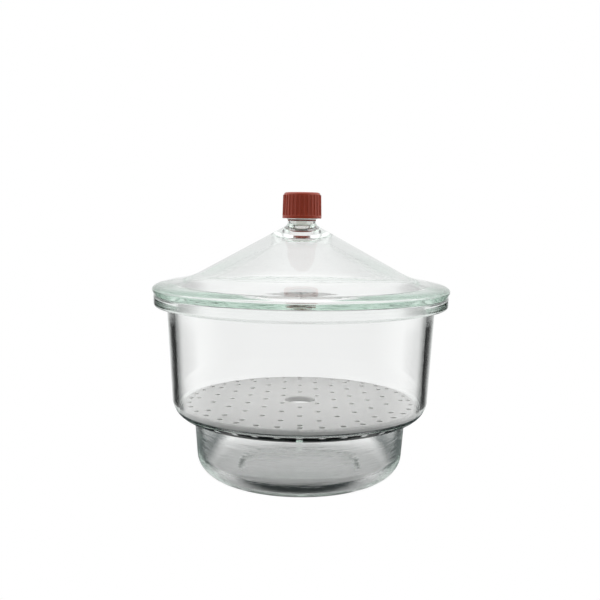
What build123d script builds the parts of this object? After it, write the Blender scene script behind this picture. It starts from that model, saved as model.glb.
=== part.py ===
from build123d import *
from math import atan, cos, degrees, radians, tan
import os

os.makedirs("parts", exist_ok=True)

# Glass laboratory desiccator, nominal size 250.
# Frame: origin at the middle of the foot, +Z up along the axis of symmetry, millimetres.

# ---- Driving dimensions ----------------------------------------------------------------

# vessel
foot_radius = 83.8              # outer edge of the flat ring that the vessel stands on
foot_recess_radius = 58.0       # the pressed hollow inside that ring
foot_recess_height = 3.2
foot_corner_radius = 21.8       # where the foot turns up into the bowl
bowl_radius_top = 108.8         # outside of the lower bowl, under the shoulder
shoulder_z = 60.5               # underside of the shoulder
shoulder_round = 19.6
chamber_radius_low = 131.5      # outside of the upper chamber, above the shoulder
chamber_radius_high = 136.4     # the same, under the flange: the wall leans out
flange_radius = 149.3
flange_underside_z = 173.4
joint_z = 184.7                 # ground top face of the flange
wall = 7.2
floor_thickness = 8.0
ledge_z = 69.2                  # flat inner ledge that carries the plate

# lid
grease_gap = 0.05               # film of grease between the two ground faces
rim_radius = 151.0              # widest point of the lid
rim_z = 190.0
brim_edge_z = 195.0             # top of the rim's rounded edge
cone_foot_radius = 112.0        # where the flat brim turns up into the cone
cone_foot_z = 201.9
cone_angle = 28.5               # outside of the cone, degrees above level
inner_cone_angle = 26.2         # inside of the cone: the glass thickens towards the neck
neck_radius = 14.6
neck_bore_radius = 11.6
neck_top_z = 259.0
ceiling_radius = 27.0           # flat pad round the bore, inside the lid
ceiling_z = 236.5
recess_radius = 16.2            # pocket in that pad, which takes the ring nut
recess_z = 245.2

# perforated plate
plate_radius = 120.5
plate_thickness = 6.0
plate_centre_hole_radius = 15.0
small_hole_radius = 2.6
hole_pitch = 24.9               # square grid of small holes, turned by 45 degrees
hole_grid_reach = 107.0
rim_hole_circle_radius = 113.8
rim_hole_count = 36

# knob: screw cap, sealing liner, hollow threaded stem, ring nut and two gaskets
cap_base_z = 261.4
cap_height = 26.2
cap_base_radius = 19.9
cap_valley_radius = 19.15       # between the ribs, just above the plain band
cap_top_radius = 18.55
cap_top_round = 2.6
cap_band_height = 3.0
cap_rib_count = 30
cap_rib_radius = 0.75
cap_bore_radius = 16.25
cap_top_thickness = 3.0
liner_thickness = 2.0
head_pitch = 4.0
head_thread_depth = 1.2
stem_head_radius = 14.7         # root of the thread under the cap
stem_flange_radius = 14.9
stem_flange_thickness = 2.0
stem_plug_radius = 11.25        # fills the neck's bore
stem_waist_radius = 9.8
stem_tail_radius = 9.2          # root of the thread for the ring nut
stem_bore_radius = 5.5
stem_gasket_thickness = 1.3
tail_pitch = 1.2
tail_thread_depth = 0.45
nut_gasket_thickness = 1.2
nut_height = 2.4
nut_radius = 15.3
nut_bore_radius = 9.9
nut_notch_count = 24
nut_notch_radius = 0.6

# ---- Derived dimensions ----------------------------------------------------------------

bowl_radius_low = foot_radius + foot_corner_radius
chamber_inner_low = chamber_radius_low - wall
chamber_inner_high = chamber_radius_high - wall
lid_joint_z = joint_z + grease_gap
neck_foot_z = cone_foot_z + (cone_foot_radius - neck_radius) * tan(radians(cone_angle))
inner_cone_foot_radius = chamber_inner_high + 0.8
inner_cone_drop = (inner_cone_foot_radius - ceiling_radius) * tan(radians(inner_cone_angle))
inner_cone_foot_z = ceiling_z - inner_cone_drop
stem_seat_z = neck_top_z + stem_gasket_thickness
stem_flange_top_z = stem_seat_z + stem_flange_thickness
cap_top_z = cap_base_z + cap_height
cap_band_z = cap_base_z + cap_band_height
liner_top_z = cap_top_z - cap_top_thickness
stem_top_z = liner_top_z - liner_thickness
nut_top_z = recess_z - nut_gasket_thickness
nut_bottom_z = nut_top_z - nut_height
head_thread_z = stem_flange_top_z + 5.6
tail_thread_z = nut_bottom_z + 0.6


# ---- Helpers ---------------------------------------------------------------------------


def rings(part, low, high):
    """The part's circular edges whose radius lies between two values."""
    return [e for e in part.edges().filter_by(GeomType.CIRCLE) if low < e.radius < high]


def thread_ridge(root_radius, start_z, turns, pitch, depth):
    """One helical thread ridge: depth is positive for a male thread, negative for a female one."""
    root = root_radius - 0.25 * depth
    crest = root_radius + depth
    path = Helix(pitch, turns * pitch, root_radius, (0, 0, start_z), mode=Mode.PRIVATE)
    with BuildPart(mode=Mode.PRIVATE) as ridge:
        with BuildSketch(Plane.XZ):
            with BuildLine():
                Polyline(
                    (root, start_z - 0.24 * pitch),
                    (crest, start_z - 0.11 * pitch),
                    (crest, start_z + 0.11 * pitch),
                    (root, start_z + 0.24 * pitch),
                    close=True,
                )
            make_face()
        sweep(path=path, is_frenet=True)
    return ridge.part


# ---- Vessel ----------------------------------------------------------------------------

with BuildPart() as base_vessel:
    with BuildSketch(Plane.XZ) as vessel_section:
        with BuildLine():
            FilletPolyline(
                (0, foot_recess_height),
                (foot_recess_radius, foot_recess_height),
                (foot_recess_radius + 6, 0),
                (bowl_radius_low - 1.2, 0),
                (bowl_radius_top, shoulder_z),
                (chamber_radius_low - 1.2, shoulder_z),
                (chamber_radius_high, flange_underside_z),
                (flange_radius, flange_underside_z),
                (flange_radius + 0.2, joint_z),
                (chamber_inner_high, joint_z),
                (chamber_inner_low, ledge_z),
                (bowl_radius_top - wall, ledge_z),
                (bowl_radius_low - wall - 0.4, floor_thickness),
                (0, floor_thickness + 0.6),
                radius=(6, 5, foot_corner_radius, 2.5, shoulder_round, 3.2, 3.0, 1.2, 1.6, 4.5, 3.0, 16),
            )
            Line((0, floor_thickness + 0.6), (0, foot_recess_height))
        make_face()
    revolve(axis=Axis.Z)
base_vessel.part.label = "base_vessel"
export_step(base_vessel.part, "parts/base_vessel.step")

# ---- Lid -------------------------------------------------------------------------------

with BuildPart() as lid:
    with BuildSketch(Plane.XZ) as lid_section:
        with BuildLine():
            FilletPolyline(
                (neck_bore_radius, neck_top_z),
                (neck_bore_radius, recess_z),
                (recess_radius, recess_z),
                (recess_radius, ceiling_z),
                (ceiling_radius, ceiling_z),
                (inner_cone_foot_radius, inner_cone_foot_z),
                (inner_cone_foot_radius + 0.8, lid_joint_z),
                (rim_radius - 2.2, lid_joint_z),
                (rim_radius + 0.6, rim_z + 1.2),
                (rim_radius - 4.5, brim_edge_z),
                (cone_foot_radius, cone_foot_z),
                (neck_radius, neck_foot_z),
                (neck_radius, neck_top_z),
                (neck_bore_radius, neck_top_z),
                radius=(0.6, 0.5, 0.8, 0.8, 4.0, 0.4, 0.3, 0.8, 3.0, 14.0, 60.0, 3.5, 0.8),
            )
        make_face()
    revolve(axis=Axis.Z)
lid.part.label = "lid"
export_step(lid.part, "parts/lid.step")

# ---- Perforated plate ------------------------------------------------------------------


def grid_hole_places():
    """Crossings of the turned square grid that lie on the plate, without its centre."""
    half = hole_pitch * cos(radians(45))
    steps = int(hole_grid_reach / half)
    places = []
    for i in range(-steps, steps + 1):
        for j in range(-steps, steps + 1):
            place = Vector(i * half, j * half)
            if (i + j) % 2 == 0 and 0 < place.length < hole_grid_reach:
                places.append(place)
    return places


with BuildPart() as perforated_plate:
    with BuildSketch(Plane.XY.offset(ledge_z)):
        Circle(plate_radius)
        Circle(plate_centre_hole_radius, mode=Mode.SUBTRACT)
        with Locations(*grid_hole_places()):
            Circle(small_hole_radius, mode=Mode.SUBTRACT)
        with PolarLocations(rim_hole_circle_radius, rim_hole_count):
            Circle(small_hole_radius, mode=Mode.SUBTRACT)
    extrude(amount=plate_thickness)
    fillet(rings(perforated_plate, small_hole_radius + 1, plate_radius + 1), radius=1.6)
    chamfer(rings(perforated_plate, 0, small_hole_radius + 0.1), length=0.45)
perforated_plate.part.label = "perforated_plate"
export_step(perforated_plate.part, "parts/perforated_plate.step")

# ---- Stem, its gasket, and the ring nut with its gasket ---------------------------------

with BuildPart() as knob_stem:
    with BuildSketch(Plane.XZ):
        with BuildLine():
            Polyline(
                (stem_bore_radius, nut_bottom_z + 0.3),
                (stem_tail_radius - 0.5, nut_bottom_z + 0.3),
                (stem_tail_radius, nut_bottom_z + 0.6),
                (stem_tail_radius, recess_z + 2.5),
                (stem_waist_radius - 0.3, recess_z + 2.8),
                (stem_waist_radius - 0.3, recess_z + 4.0),
                (stem_waist_radius, recess_z + 4.3),
                (stem_waist_radius, neck_top_z - 7.5),
                (stem_plug_radius - 0.6, neck_top_z - 7.0),
                (stem_plug_radius - 0.6, neck_top_z - 4.2),
                (stem_plug_radius, neck_top_z - 3.8),
                (stem_plug_radius, stem_seat_z),
                (stem_flange_radius, stem_seat_z),
                (stem_flange_radius, stem_flange_top_z - 0.4),
                (stem_head_radius, stem_flange_top_z),
                (stem_head_radius, stem_top_z - 0.8),
                (stem_head_radius - 0.8, stem_top_z),
                (stem_bore_radius + 1, stem_top_z),
                (stem_bore_radius, stem_top_z - 1),
                close=True,
            )
        make_face()
    revolve(axis=Axis.Z)
    add(thread_ridge(stem_head_radius, head_thread_z, 2.5, head_pitch, head_thread_depth))
    add(thread_ridge(stem_tail_radius, tail_thread_z, 2.0, tail_pitch, tail_thread_depth))
knob_stem.part.label = "knob_stem"
export_step(knob_stem.part, "parts/knob_stem.step")

with BuildPart() as stem_gasket:
    with BuildSketch(Plane.XY.offset(neck_top_z)):
        Circle(neck_radius - 0.3)
        Circle(stem_plug_radius + 0.3, mode=Mode.SUBTRACT)
    extrude(amount=stem_gasket_thickness)
    fillet(rings(stem_gasket, stem_plug_radius + 1, neck_radius), radius=0.4)
stem_gasket.part.label = "stem_gasket"
export_step(stem_gasket.part, "parts/stem_gasket.step")

with BuildPart() as nut_gasket:
    with BuildSketch(Plane.XY.offset(nut_top_z)):
        Circle(nut_radius - 0.4)
        Circle(nut_bore_radius, mode=Mode.SUBTRACT)
    extrude(amount=nut_gasket_thickness)
    fillet(rings(nut_gasket, nut_bore_radius + 1, nut_radius), radius=0.3)
nut_gasket.part.label = "nut_gasket"
export_step(nut_gasket.part, "parts/nut_gasket.step")

with BuildPart() as retaining_nut:
    with BuildSketch(Plane.XZ):
        with BuildLine():
            Polyline(
                (nut_bore_radius, nut_top_z),
                (nut_radius, nut_top_z),
                (nut_radius, nut_bottom_z + 0.3),
                (nut_radius - 0.3, nut_bottom_z),
                (nut_bore_radius, nut_bottom_z),
                close=True,
            )
        make_face()
    revolve(axis=Axis.Z)
    with Locations((0, 0, nut_top_z - nut_height / 2)):
        with PolarLocations(nut_radius + 0.2, nut_notch_count):
            Cylinder(nut_notch_radius, nut_height, mode=Mode.SUBTRACT)
    nut_thread_z = tail_thread_z + tail_pitch / 2
    add(thread_ridge(nut_bore_radius, nut_thread_z, 0.75, tail_pitch, -tail_thread_depth))
retaining_nut.part.label = "retaining_nut"
export_step(retaining_nut.part, "parts/retaining_nut.step")

# ---- Screw cap and its liner -------------------------------------------------------------

with BuildPart() as knob_cap:
    with BuildSketch(Plane.XZ):
        with BuildLine():
            FilletPolyline(
                (0, liner_top_z),
                (cap_bore_radius, liner_top_z),
                (cap_bore_radius, cap_base_z),
                (cap_base_radius, cap_base_z),
                (cap_base_radius, cap_band_z),
                (cap_valley_radius, cap_band_z + 0.4),
                (cap_top_radius, cap_top_z),
                (0, cap_top_z),
                radius=(0.5, 0.5, 0.6, 0.3, 0.2, cap_top_round),
            )
            Line((0, cap_top_z), (0, liner_top_z))
        make_face()
    revolve(axis=Axis.Z)
    rib_height = cap_height - cap_band_height - cap_top_round
    rib_lean = (cap_valley_radius - cap_top_radius) / (cap_height - cap_band_height)
    rib_middle_radius = cap_valley_radius - rib_lean * rib_height / 2
    with Locations((0, 0, cap_band_z + rib_height / 2)):
        with PolarLocations(rib_middle_radius, cap_rib_count):
            Cylinder(cap_rib_radius, rib_height, rotation=(0, -degrees(atan(rib_lean)), 0))
    cap_thread_z = head_thread_z + head_pitch / 2
    add(thread_ridge(cap_bore_radius, cap_thread_z, 2.0, head_pitch, -head_thread_depth))
knob_cap.part.label = "knob_cap"
export_step(knob_cap.part, "parts/knob_cap.step")

with BuildPart() as cap_liner:
    with BuildSketch(Plane.XY.offset(stem_top_z)):
        Circle(cap_bore_radius - head_thread_depth - 0.3)
    extrude(amount=liner_thickness)
cap_liner.part.label = "cap_liner"
export_step(cap_liner.part, "parts/cap_liner.step")
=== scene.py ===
import math

import bmesh
import bpy
from mathutils import Euler, Matrix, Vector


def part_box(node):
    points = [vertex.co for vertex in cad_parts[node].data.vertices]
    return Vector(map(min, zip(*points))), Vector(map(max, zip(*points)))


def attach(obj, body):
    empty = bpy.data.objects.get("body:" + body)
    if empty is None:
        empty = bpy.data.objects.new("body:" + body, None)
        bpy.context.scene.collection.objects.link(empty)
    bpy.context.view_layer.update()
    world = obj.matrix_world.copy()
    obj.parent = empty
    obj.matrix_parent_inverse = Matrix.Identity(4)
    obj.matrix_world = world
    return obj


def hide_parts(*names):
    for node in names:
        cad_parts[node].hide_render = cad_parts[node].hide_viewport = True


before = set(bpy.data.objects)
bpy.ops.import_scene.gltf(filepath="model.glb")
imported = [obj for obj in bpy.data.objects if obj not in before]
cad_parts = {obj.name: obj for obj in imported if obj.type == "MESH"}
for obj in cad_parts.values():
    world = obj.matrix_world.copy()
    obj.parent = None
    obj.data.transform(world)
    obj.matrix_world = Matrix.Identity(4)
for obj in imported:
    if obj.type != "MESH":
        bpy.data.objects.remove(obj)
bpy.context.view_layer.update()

# ---- Camera, in metres and degrees -------------------------------------------------------------

CAMERA_DISTANCE = 0.8071
CAMERA_HEIGHT = 0.2636
CAMERA_OFFSET = -0.0010
CAMERA_TILT_DOWN = 6.07
CAMERA_ROLL = 0.67
CAMERA_LENS_MM = 47.27

# ---- Surroundings ------------------------------------------------------------------------------

SCREEN_FADE = (11.0, 33.0)              # degrees either side of +Y: the screen fades to its edge
SCREEN_EDGE_BRIGHTNESS = 0.03
WALL_START = (46.0, 62.0)               # past the screen's edge the white walls begin
EDGE_BAND_FOOT = (-0.43, -0.34)         # sines of elevation where the screen's dark edge begins
EDGE_BAND_TOP = (-0.10, -0.04)          # and where it ends
SIDE_BRIGHTNESS = 0.97
FRONT_BRIGHTNESS = 0.15
FRONT_THROUGH_GLASS = 0.40              # the same side where it is seen through the glass
FRONT_EDGE = (-0.4, 0.3)                # how far back, as a sine, the dim front ends
UPPER_SCREEN = (-0.05, 0.10)            # sines of elevation between which the screen dims a little
UPPER_BRIGHTNESS = 0.80
CEILING_EDGE = (0.62, 0.90)             # sines of elevation where the overhead softbox begins
CEILING_BRIGHTNESS = 1.30
SIDE_BOX_EDGE = (0.45, 0.75)            # how far aside, as a sine, the two side softboxes begin
SIDE_BOX_FOOT = (0.05, 0.25)            # sines of elevation of their lower edges
SIDE_BOX_BRIGHTNESS = 1.35
FLOOR_RADIUS = 0.26
FLOOR_DROP = 0.0002                     # below the foot, so that the two faces don't coincide
# painted light: a faint glow of the floor behind the object, which lifts the shade under the vessel
# seen through the glass
FLOOR_PAINTED_GLOW = 0.22
FLOOR_FADE = (0.13, 0.25)               # radii where the floor turns as bright as the screen
FLOOR_FRONT_EDGE = (-0.088, -0.068)     # in front of this line the floor is painted near black, a painted shade, and has no glow
FLOOR_SIDE_EDGE = (0.088, 0.115)        # and is painted near black past this distance to either side
# painted shade: the near black colour of the floor outside the strip behind the object
FLOOR_PAINTED_SHADE_COLOUR = (0.07, 0.09, 0.09, 1)
CONTACT_SHADOW = (0.078, 0.088)         # radii between which the shadow under the foot ends

# ---- Glass -------------------------------------------------------------------------------------

GLASS_IOR = 1.517
GLASS_TINT = (0.20, 0.68, 0.42, 1.0)
GLASS_DENSITY = 1.4
# slightly darker, greener glass at grazing angles: partly the glass's own green at its thick edges,
# partly painted shade for its dark outline
GLASS_EDGE_TINT_AND_SHADE = (0.965, 0.985, 0.975, 1.0)
GRINDING_DEPTH = (0.0002, 0.0006)       # distances from the ground face between which matt ends
GRINDING_ROUGHNESS = 0.16
RIPPLE_FADE = 0.012                     # height over which the mould's ripples die out
VESSEL_MOULD_TOP = 0.058                # the bowl is pressed against the mould up to here
VESSEL_RIPPLE_DEPTH = 0.0012
LID_MOULD_TOP = 0.212
LID_RIPPLE_DEPTH = 0.0002
LATHE_STEPS = 288
SHARP_CORNER = math.radians(24)
WELD_DISTANCE = 2e-6                    # vertices nearer than this are one
SEAM_TOLERANCE = 1e-6

# ---- Ray depth ---------------------------------------------------------------------------------

GLASS_BOUNCES = 96
GLOSSY_BOUNCES = 48
DIFFUSE_BOUNCES = 5


# ---- Node helpers ------------------------------------------------------------------------------


class Nodes:
    """Builds one node tree: add() makes a node, sets its values and links its inputs."""

    def __init__(self, tree):
        self.tree = tree
        tree.nodes.clear()

    def add(self, kind, inputs=None, **settings):
        node = self.tree.nodes.new(kind)
        for name, value in settings.items():
            setattr(node, name, value)
        for name, value in (inputs or {}).items():
            if isinstance(value, bpy.types.NodeSocket):
                self.tree.links.new(value, node.inputs[name])
            else:
                node.inputs[name].default_value = value
        return node

    def math(self, operation, a, b=0.0):
        return self.add("ShaderNodeMath", {0: a, 1: b}, operation=operation).outputs[0]

    def step(self, value, low, high, start=0.0, end=1.0):
        """A smooth ramp of value from start, at low, to end, at high."""
        inputs = {
            "Value": value,
            "From Min": low,
            "From Max": high,
            "To Min": start,
            "To Max": end,
        }
        return self.add(
            "ShaderNodeMapRange", inputs, interpolation_type="SMOOTHSTEP"
        ).outputs[0]

    def noise(self, scale, stretch=(1, 1, 1), detail=3.0, roughness=0.55):
        where = self.add("ShaderNodeTexCoord").outputs["Object"]
        mapped = self.add("ShaderNodeMapping", {"Vector": where, "Scale": stretch})
        inputs = {
            "Vector": mapped.outputs[0],
            "Scale": scale,
            "Detail": detail,
            "Roughness": roughness,
        }
        return self.add("ShaderNodeTexNoise", inputs).outputs["Fac"]

    def mix(self, factor, a, b):
        node = self.add("ShaderNodeMix", data_type="RGBA")
        for socket, value in ((node.inputs[0], factor), (node.inputs[6], a), (node.inputs[7], b)):
            if isinstance(value, bpy.types.NodeSocket):
                self.tree.links.new(value, socket)
            else:
                socket.default_value = value
        return node.outputs[2]

    def bump(self, height, strength, distance, normal=None):
        inputs = {"Height": height, "Strength": strength, "Distance": distance}
        if normal:
            inputs["Normal"] = normal
        return self.add("ShaderNodeBump", inputs).outputs[0]


def new_material(name):
    material = bpy.data.materials.new(name)
    material.use_nodes = True
    return material, Nodes(material.node_tree)


# ---- Materials ---------------------------------------------------------------------------------


def glass_material(name, ground_z, mould_top, ripple_depth):
    """Clear pressed glass: faint waviness and a few fine scratches everywhere, mould ripples that
    fade out at the height mould_top, and a finely matt band on the ground face at ground_z."""
    material, n = new_material(name)
    place = n.add("ShaderNodeTexCoord").outputs["Object"]
    height = n.add("ShaderNodeSeparateXYZ", {0: place}).outputs["Z"]
    waves = n.noise(16, (1, 1, 0.7), 2.0, 0.4)
    streaks = n.noise(34, (0.2, 0.2, 2.2), 2.0, 0.5)
    scratches = n.step(n.noise(30, (1.0, 1.0, 0.06), 5.0, 0.6), 0.70, 0.74)
    in_mould = n.step(height, mould_top - RIPPLE_FADE, mould_top, 1.0, 0.0)
    ripples = n.math("MULTIPLY", n.noise(110, (0.14, 0.14, 2.4), 3.0, 0.6), in_mould)
    normal = n.bump(waves, 0.10, 0.0020)
    normal = n.bump(streaks, 0.05, 0.0006, normal)
    normal = n.bump(scratches, 0.10, 0.0002, normal)
    normal = n.bump(ripples, 0.26, ripple_depth, normal)
    from_ground = n.math("ABSOLUTE", n.math("SUBTRACT", height, ground_z))
    grind = n.noise(900, (1, 1, 1), 2.0, 0.7)
    matt = n.step(from_ground, *GRINDING_DEPTH, GRINDING_ROUGHNESS, 0.0)
    roughness = n.math("MULTIPLY", matt, n.step(grind, 0.3, 0.7, 0.6, 1.2))
    facing = n.add("ShaderNodeLayerWeight", {"Blend": 0.35}).outputs["Facing"]
    # the colour turns slightly darker and greener where the surface turns from the view: partly the
    # glass's green, partly painted shade darkening its outline
    edge = n.step(facing, 0.35, 0.95)
    inputs = {
        "Base Color": n.mix(edge, (1.0, 1.0, 1.0, 1.0), GLASS_EDGE_TINT_AND_SHADE),
        "Transmission Weight": 1.0,
        "IOR": GLASS_IOR,
        "Roughness": roughness,
        "Normal": normal,
    }
    shader = n.add("ShaderNodeBsdfPrincipled", inputs)
    inside = n.add("ShaderNodeVolumeAbsorption", {"Color": GLASS_TINT, "Density": GLASS_DENSITY})
    n.add("ShaderNodeOutputMaterial", {"Surface": shader.outputs[0], "Volume": inside.outputs[0]})
    return material


def porcelain_material():
    """White porcelain under a thin glaze, with a few faint specks."""
    material, n = new_material("glazed_porcelain")
    cloud = n.noise(14, detail=4.0)
    speck = n.step(n.noise(420, detail=1.0), 0.74, 0.80)
    body = n.mix(cloud, (0.92, 0.912, 0.90, 1), (0.94, 0.935, 0.925, 1))
    colour = n.mix(n.math("MULTIPLY", speck, 0.5), body, (0.52, 0.49, 0.45, 1))
    roughness = n.step(n.noise(60), 0.3, 0.7, 0.20, 0.27)
    normal = n.bump(n.noise(90, detail=2.0), 0.05, 0.0006)
    inputs = {
        "Base Color": colour,
        "Roughness": roughness,
        "Normal": normal,
        "IOR": 1.5,
        "Coat Weight": 0.4,
        "Coat Roughness": 0.08,
    }
    shader = n.add("ShaderNodeBsdfPrincipled", inputs)
    n.add("ShaderNodeOutputMaterial", {"Surface": shader.outputs[0]})
    return material


def plastic_material(name, light, dark, low_roughness, grain, subsurface, clear=0.0, ior=1.5):
    """Moulded plastic: faint flow marks in its colour, fine grain and uneven gloss."""
    material, n = new_material(name)
    flow = n.noise(55, (1, 1, 0.35), 4.0)
    colour = n.mix(flow, dark, light)
    roughness = n.step(n.noise(130), 0.3, 0.7, low_roughness, low_roughness + 0.14)
    normal = n.bump(n.noise(1400, detail=2.0), 0.35, grain)
    inputs = {
        "Base Color": colour,
        "Roughness": roughness,
        "Normal": normal,
        "IOR": ior,
        "Subsurface Weight": subsurface,
        "Subsurface Scale": 0.004,
        "Transmission Weight": clear,
    }
    shader = n.add("ShaderNodeBsdfPrincipled", inputs)
    n.add("ShaderNodeOutputMaterial", {"Surface": shader.outputs[0]})
    return material


def floor_material():
    """Matt floor, white to the camera past the shadow under the foot. To other rays it is painted
    near black in front and to either side, a painted shade, and pale with a faint painted glow in
    the strip behind the object, where it fades into the white of the screen away from the object.
    """
    material, n = new_material("floor_with_painted_shade")
    place = n.add("ShaderNodeTexCoord").outputs["Object"]
    radius = n.add("ShaderNodeVectorMath", {0: place}, operation="LENGTH").outputs["Value"]
    seen = n.add("ShaderNodeLightPath").outputs["Is Camera Ray"]
    shadow = n.step(radius, *CONTACT_SHADOW)
    split = n.add("ShaderNodeSeparateXYZ", {0: place})
    # the strip behind the object, between these edges, is pale; outside it the floor is painted
    # near black, a painted shade
    middle = n.step(n.math("ABSOLUTE", split.outputs["X"]), *FLOOR_SIDE_EDGE, 1.0, 0.0)
    behind = n.math("MULTIPLY", n.step(split.outputs["Y"], *FLOOR_FRONT_EDGE), middle)
    fade = n.math("MULTIPLY", n.step(radius, *FLOOR_FADE), behind)
    glow = n.add("ShaderNodeMix", {0: seen, 2: fade, 3: shadow}).outputs[0]
    pale = n.mix(n.noise(6), (0.80, 0.80, 0.80, 1), (0.84, 0.84, 0.84, 1))
    # painted shade: near black outside the strip, pale inside it
    colour = n.mix(behind, FLOOR_PAINTED_SHADE_COLOUR, pale)
    # painted light: the strip behind the object glows a little
    inputs = {
        "Base Color": colour,
        "Roughness": 0.9,
        "Emission Color": (1, 1, 1, 1),
        "Emission Strength": n.math("MULTIPLY", behind, FLOOR_PAINTED_GLOW),
    }
    matt = n.add("ShaderNodeBsdfPrincipled", inputs)
    white = n.add("ShaderNodeEmission", {"Color": (1, 1, 1, 1), "Strength": 1.0})
    mixed = n.add("ShaderNodeMixShader", {0: glow, 1: matt.outputs[0], 2: white.outputs[0]})
    n.add("ShaderNodeOutputMaterial", {"Surface": mixed.outputs[0]})
    return material


# ---- Glass pieces: the CAD sections, turned again as fine smooth meshes ------------------------


def outline_of(node):
    """The half section of a turned CAD node, as (radius, height) points in order."""
    cut = bmesh.new()
    cut.from_mesh(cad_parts[node].data)
    bmesh.ops.remove_doubles(cut, verts=cut.verts, dist=WELD_DISTANCE)
    on_seam = {
        v for v in cut.verts if abs(v.co.y) < SEAM_TOLERANCE and v.co.x > -SEAM_TOLERANCE
    }
    links = {v: [] for v in on_seam}
    for edge in cut.edges:
        a, b = edge.verts
        if a in on_seam and b in on_seam:
            links[a].append(b)
            links[b].append(a)
    ends = [v for v in on_seam if len(links[v]) == 1]
    here = min(ends or on_seam, key=lambda v: (v.co.x, -v.co.z))
    chain = []
    seen = set()
    while here is not None:
        seen.add(here)
        chain.append((here.co.x, here.co.z))
        here = next((v for v in links[here] if v not in seen), None)
    if ends:
        chain.append((0.0, chain[-1][1]))
    cut.free()
    return chain


def turned(name, node, body, material):
    """A fine smooth solid of revolution that stands for a turned CAD node."""
    outline = outline_of(node)
    closed = outline[0][0] > SEAM_TOLERANCE
    mesh = bpy.data.meshes.new(name)
    made = bmesh.new()
    rows = []
    for radius, height in outline:
        if radius < SEAM_TOLERANCE:
            rows.append([made.verts.new((0, 0, height))])
            continue
        row = []
        for i in range(LATHE_STEPS):
            turn = 2 * math.pi * i / LATHE_STEPS
            x = radius * math.cos(turn)
            y = radius * math.sin(turn)
            row.append(made.verts.new((x, y, height)))
        rows.append(row)
    pairs = list(zip(rows, rows[1:]))
    if closed:
        pairs.append((rows[-1], rows[0]))
    for a, b in pairs:
        for i in range(LATHE_STEPS):
            j = (i + 1) % LATHE_STEPS
            corners = [a[i % len(a)], a[j % len(a)], b[j % len(b)], b[i % len(b)]]
            made.faces.new(list(dict.fromkeys(corners)))
    bmesh.ops.recalc_face_normals(made, faces=made.faces)
    for face in made.faces:
        face.smooth = True
    for edge in made.edges:
        edge.smooth = edge.calc_face_angle(0) < SHARP_CORNER
    made.to_mesh(mesh)
    made.free()
    piece = bpy.data.objects.new(name, mesh)
    bpy.context.scene.collection.objects.link(piece)
    mesh.materials.append(material)
    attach(piece, body)
    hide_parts(node)


def dress(node, material):
    """Gives a CAD node its finished material."""
    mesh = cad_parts[node].data
    for i in range(len(mesh.materials)):
        mesh.materials[i] = material


# ---- Stage, light and camera -------------------------------------------------------------------


def make_floor():
    bpy.ops.mesh.primitive_circle_add(vertices=128, radius=FLOOR_RADIUS, fill_type="NGON")
    floor = bpy.context.object
    floor.name = "floor"
    floor.location.z = -FLOOR_DROP
    floor.data.materials.append(floor_material())


def make_surroundings():
    """A white studio. The screen behind the object fades to a dark edge on either side, which gives
    clear glass its dark outline; white walls follow, dimmer on the camera's side."""
    world = bpy.data.worlds.new("studio")
    bpy.context.scene.world = world
    world.use_nodes = True
    n = Nodes(world.node_tree)
    direction = n.add("ShaderNodeTexCoord").outputs["Generated"]
    split = n.add("ShaderNodeSeparateXYZ", {0: direction})
    level = n.math("ABSOLUTE", n.math("ARCTAN2", split.outputs["X"], split.outputs["Y"]))
    fade = [math.radians(a) for a in SCREEN_FADE]
    wall = [math.radians(a) for a in WALL_START]
    screen = n.step(level, *fade, 1.0, SCREEN_EDGE_BRIGHTNESS)
    outline = n.math("MAXIMUM", screen, n.step(level, *wall))
    low = n.step(split.outputs["Z"], *EDGE_BAND_FOOT)
    high = n.step(split.outputs["Z"], *EDGE_BAND_TOP, 1.0, 0.0)
    band = n.math("MULTIPLY", low, high)
    shade = n.add("ShaderNodeMix", {0: band, 2: 1.0, 3: outline}).outputs[0]
    back = n.step(split.outputs["Z"], *UPPER_SCREEN, SIDE_BRIGHTNESS, UPPER_BRIGHTNESS)
    path = n.add("ShaderNodeLightPath")
    through = path.outputs["Is Transmission Ray"]
    fronts = {0: through, 2: FRONT_BRIGHTNESS, 3: FRONT_THROUGH_GLASS}
    front = n.add("ShaderNodeMix", fronts).outputs[0]
    walls = n.step(split.outputs["Y"], *FRONT_EDGE, front, back)
    above = n.step(split.outputs["Z"], *CEILING_EDGE)
    lit = n.add("ShaderNodeMix", {0: above, 2: walls, 3: CEILING_BRIGHTNESS}).outputs[0]
    aside = n.step(n.math("ABSOLUTE", split.outputs["X"]), *SIDE_BOX_EDGE)
    raised = n.step(split.outputs["Z"], *SIDE_BOX_FOOT)
    in_box = n.math("MULTIPLY", aside, raised)
    boxes = n.add("ShaderNodeMix", {0: in_box, 2: lit, 3: SIDE_BOX_BRIGHTNESS}).outputs[0]
    light = n.math("MULTIPLY", boxes, shade)
    seen = path.outputs["Is Camera Ray"]
    shown = n.add("ShaderNodeMix", {0: seen, 2: light, 3: 1.0}).outputs[0]
    background = n.add("ShaderNodeBackground", {"Color": (1, 1, 1, 1), "Strength": shown})
    n.add("ShaderNodeOutputWorld", {"Surface": background.outputs[0]})


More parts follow.
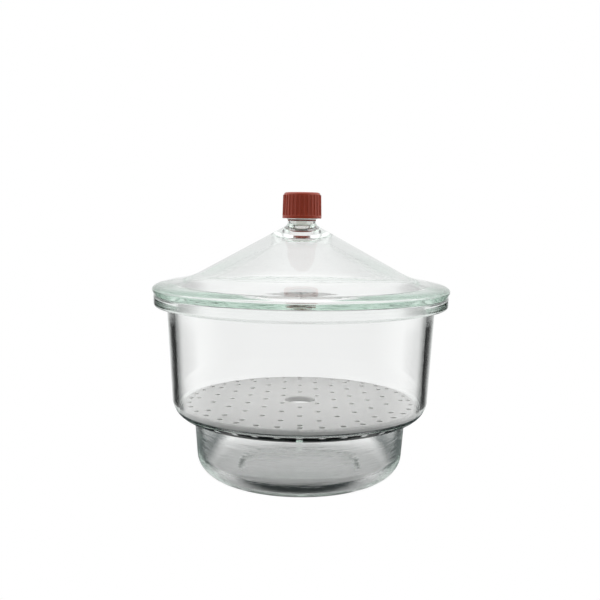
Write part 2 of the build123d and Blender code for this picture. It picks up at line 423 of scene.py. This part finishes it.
def make_camera():
    data = bpy.data.cameras.new("camera")
    data.lens = CAMERA_LENS_MM
    data.sensor_width = 36.0
    camera = bpy.data.objects.new("camera", data)
    bpy.context.scene.collection.objects.link(camera)
    tilt = Euler((math.radians(90 - CAMERA_TILT_DOWN), 0, 0)).to_matrix().to_4x4()
    roll = Matrix.Rotation(math.radians(CAMERA_ROLL), 4, "Z")
    place = Matrix.Translation((CAMERA_OFFSET, -CAMERA_DISTANCE, CAMERA_HEIGHT))
    camera.matrix_world = place @ tilt @ roll
    bpy.context.scene.camera = camera


def set_render_depth():
    """Enough bounces for light trapped in the rims and the cone's wall to find its way out."""
    cycles = bpy.context.scene.cycles
    cycles.max_bounces = GLASS_BOUNCES
    cycles.transmission_bounces = GLASS_BOUNCES
    cycles.glossy_bounces = GLOSSY_BOUNCES
    cycles.diffuse_bounces = DIFFUSE_BOUNCES
    bpy.context.scene.view_settings.view_transform = "Standard"


# ---- The model ---------------------------------------------------------------------------------

joint_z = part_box("base_vessel")[1].z
vessel_glass = glass_material("vessel_glass", joint_z, VESSEL_MOULD_TOP, VESSEL_RIPPLE_DEPTH)
lid_glass = glass_material("lid_glass", joint_z, LID_MOULD_TOP, LID_RIPPLE_DEPTH)
turned("vessel_glass", "base_vessel", "vessel", vessel_glass)
turned("lid_glass", "lid", "lid_assembly", lid_glass)
dress("perforated_plate", porcelain_material())
red = plastic_material(
    "red_plastic",
    light=(0.50, 0.070, 0.030, 1),
    dark=(0.43, 0.056, 0.025, 1),
    low_roughness=0.28,
    grain=0.00008,
    subsurface=0.0,
)
white = plastic_material(
    "stem_plastic",
    light=(0.93, 0.925, 0.90, 1),
    dark=(0.88, 0.875, 0.84, 1),
    low_roughness=0.38,
    grain=0.00006,
    subsurface=0.2,
    clear=0.92,
    ior=1.06,
)
seal = plastic_material(
    "gasket_rubber",
    light=(0.42, 0.040, 0.028, 1),
    dark=(0.36, 0.032, 0.024, 1),
    low_roughness=0.50,
    grain=0.00010,
    subsurface=0.0,
)
silicone = plastic_material(
    "liner_silicone",
    light=(0.70, 0.69, 0.66, 1),
    dark=(0.64, 0.63, 0.60, 1),
    low_roughness=0.50,
    grain=0.00006,
    subsurface=0.2,
)
dress("knob_cap", red)
dress("retaining_nut", red)
dress("knob_stem", white)
dress("stem_gasket", seal)
dress("nut_gasket", silicone)
dress("cap_liner", silicone)

make_floor()
make_surroundings()
make_camera()
set_render_depth()
